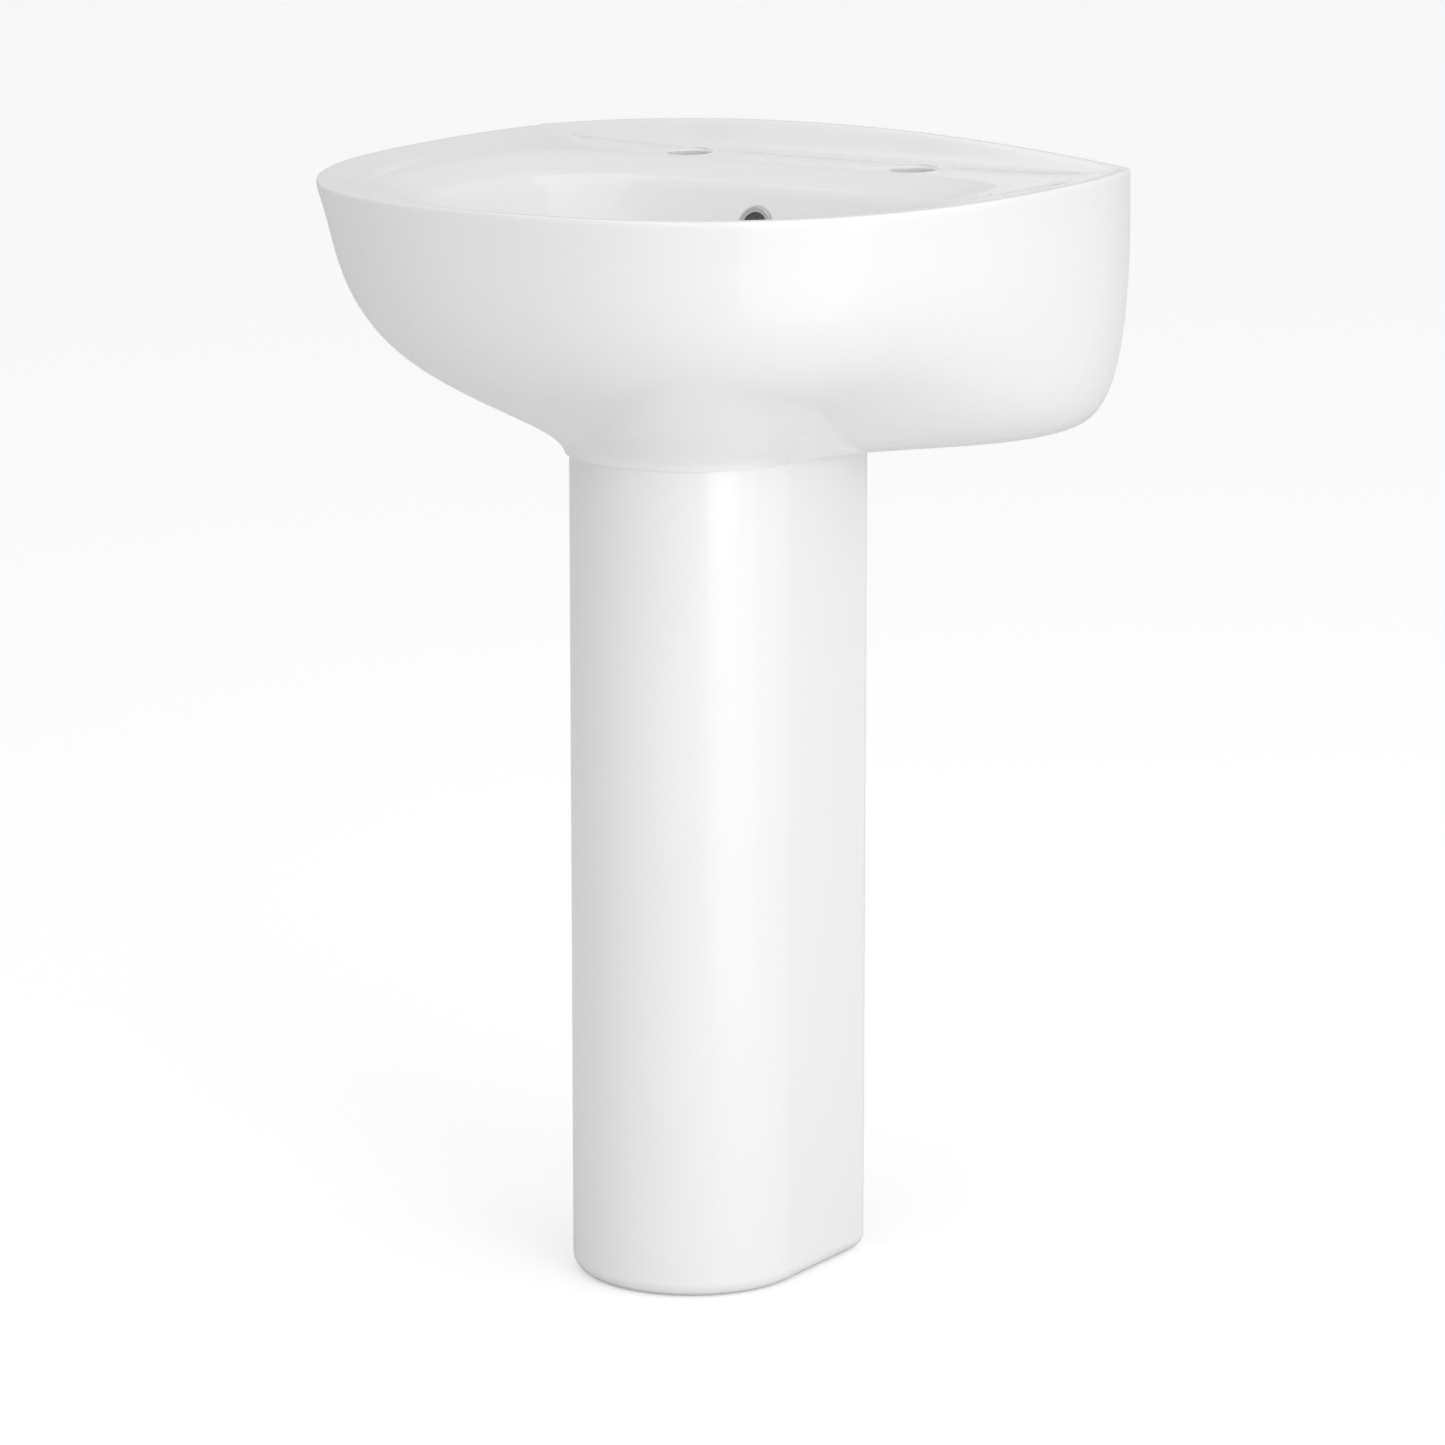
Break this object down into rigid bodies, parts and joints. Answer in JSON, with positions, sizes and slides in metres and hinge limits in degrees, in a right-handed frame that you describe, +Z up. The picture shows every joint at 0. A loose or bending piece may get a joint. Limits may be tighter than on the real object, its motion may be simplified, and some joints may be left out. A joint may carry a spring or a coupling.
{
  "type": "pedestal sink",
  "caption": "Pedestal sink: rounded china basin with tap holes and overflow, standing on a plain U-section column, with slotted waste, press plug and bottle trap inside.",
  "frame": {"origin": "on the floor, under the middle of the basin's width and depth", "axes": "+X to the right seen from the front, +Y to the wall behind, +Z up"},
  "size_m": [0.5508, 0.4602, 0.8573],
  "materials": {
    "china": "white vitreous china with a clear glossy glaze",
    "chrome": "polished chrome plate",
    "brass": "turned brass",
    "black_rubber": "black moulded rubber",
    "grey_foam": "closed-cell sealing foam",
    "slip_plastic": "thin natural polyethylene",
    "white_plastic": "moulded white polypropylene",
    "spring_steel": "bright stainless spring wire"
  },
  "bodies": {
    "sink": {"basin": "china", "pedestal": "china", "overflow_ring": "chrome", "waste_body": "chrome", "waste_backnut": "brass", "cartridge_housing": "brass", "waste_rubber_washer": "black_rubber", "trap_inlet_washer": "black_rubber", "trap_top_seal": "black_rubber", "trap_cup_seal": "black_rubber", "trap_outlet_seal": "black_rubber", "waste_flange_seal": "grey_foam", "waste_friction_washer": "slip_plastic", "trap_outlet_slip_ring": "slip_plastic", "trap_inlet_nut": "white_plastic", "trap_dip_tube": "white_plastic", "trap_top_nut": "white_plastic", "trap_body": "white_plastic", "trap_cup": "white_plastic", "trap_outlet_nut": "white_plastic", "cartridge_spring": "spring_steel"},
    "plug": {"plug_cap": "chrome", "plug_seal": "black_rubber", "plug_stem": "brass"}
  },
  "joints": [
    {"name": "plug_lift", "type": "slide", "parent": "sink", "child": "plug", "axis": [0, 0, 1], "range_m": [0, 0.008], "deforming": ["cartridge_spring"]}
  ]
}
